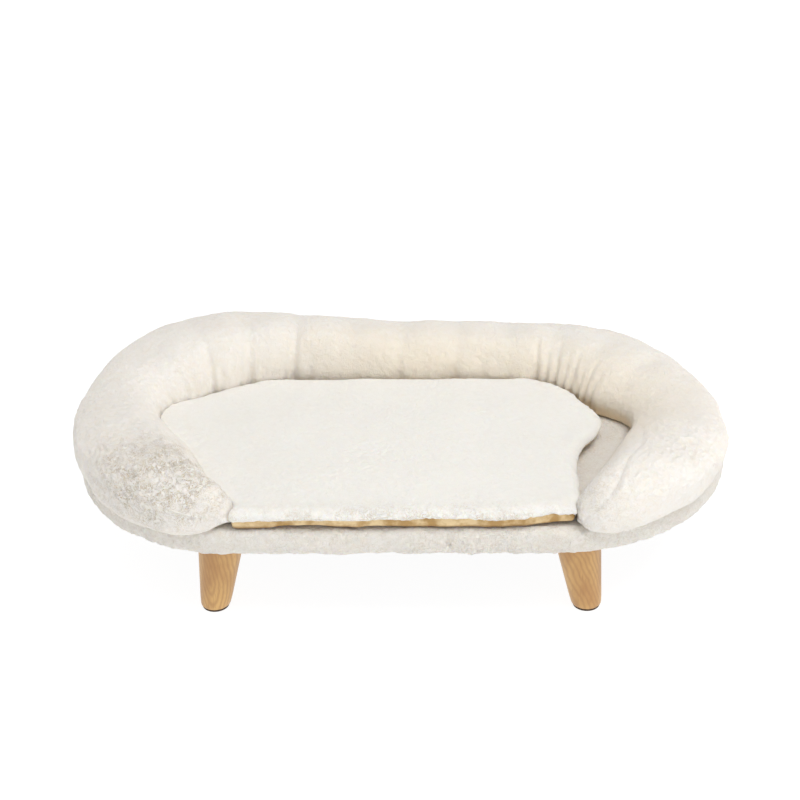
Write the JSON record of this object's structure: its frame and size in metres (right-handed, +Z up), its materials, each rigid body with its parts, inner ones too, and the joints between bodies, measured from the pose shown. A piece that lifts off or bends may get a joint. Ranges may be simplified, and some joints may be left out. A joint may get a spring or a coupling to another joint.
{
  "type": "raised dog bed",
  "caption": "Raised oval pet bed: plush-covered board on splayed tapered wooden legs, C-shaped bolster round back and ends, loose zipped mat that lifts out.",
  "frame": {"origin": "on the floor, under the middle of the bed", "axes": "+Z up, +X along the bed's length, to the right as seen from the open front; the open front faces -Y"},
  "size_m": [0.7578, 0.408, 0.2132],
  "materials": {
    "white_plush": "short-pile rabbit plush, off-white",
    "cream_plush": "short-pile rabbit plush, warm cream",
    "lining": "smooth woven lining with a soft sheen, golden beige",
    "filling": "polyester fibre filling",
    "foam": "polyurethane foam sheet",
    "dust_cloth": "black non-woven cloth",
    "plywood": "raw plywood",
    "leg_wood": "turned hardwood, clear satin lacquer",
    "zinc_steel": "bright zinc-plated steel",
    "foot_rubber": "dark moulded rubber",
    "zip_coil": "woven nylon tape and coil",
    "zip_metal": "nickel-plated zinc casting"
  },
  "bodies": {
    "base": {"base_board": "plywood", "base_foam": "foam", "base_cover": "white_plush", "dust_cover": "dust_cloth", "bolster_cover": "cream_plush", "bolster_end_left": "cream_plush", "bolster_end_right": "cream_plush", "bolster_filling": "filling", "leg_front_left": "leg_wood", "leg_front_right": "leg_wood", "leg_rear_left": "leg_wood", "leg_rear_right": "leg_wood", "foot_pad_front_left": "foot_rubber", "foot_pad_front_right": "foot_rubber", "foot_pad_rear_left": "foot_rubber", "foot_pad_rear_right": "foot_rubber", "leg_plate_front_left": "zinc_steel", "leg_plate_front_right": "zinc_steel", "leg_plate_rear_left": "zinc_steel", "leg_plate_rear_right": "zinc_steel", "hanger_bolt_front_left": "zinc_steel", "hanger_bolt_front_right": "zinc_steel", "hanger_bolt_rear_left": "zinc_steel", "hanger_bolt_rear_right": "zinc_steel", "plate_screw_front_left_1": "zinc_steel", "plate_screw_front_left_2": "zinc_steel", "plate_screw_front_left_3": "zinc_steel", "plate_screw_front_left_4": "zinc_steel", "plate_screw_front_right_1": "zinc_steel", "plate_screw_front_right_2": "zinc_steel", "plate_screw_front_right_3": "zinc_steel", "plate_screw_front_right_4": "zinc_steel", "plate_screw_rear_left_1": "zinc_steel", "plate_screw_rear_left_2": "zinc_steel", "plate_screw_rear_left_3": "zinc_steel", "plate_screw_rear_left_4": "zinc_steel", "plate_screw_rear_right_1": "zinc_steel", "plate_screw_rear_right_2": "zinc_steel", "plate_screw_rear_right_3": "zinc_steel", "plate_screw_rear_right_4": "zinc_steel"},
    "mat": {"mat_top": "white_plush", "mat_lining": "lining", "mat_filling": "filling", "zip_tape_upper": "zip_coil", "zip_tape_lower": "zip_coil"},
    "zip_slider": {"zip_slider": "zip_metal"},
    "zip_pull": {"zip_pull": "zip_metal"}
  },
  "joints": [
    {"name": "mat_lift", "type": "slide", "parent": "base", "child": "mat", "axis": [0, 0, 1], "range_m": [0, 0.2]},
    {"name": "zip_slide", "type": "slide", "parent": "mat", "child": "zip_slider", "axis": [-1, 0, 0], "range_m": [0, 0.202]},
    {"name": "zip_pull_swing", "type": "hinge", "parent": "zip_slider", "child": "zip_pull", "pos_m": [0.101, 0.0997, 0.1477], "axis": [0, 0, 1], "range_deg": [0, 180]}
  ]
}
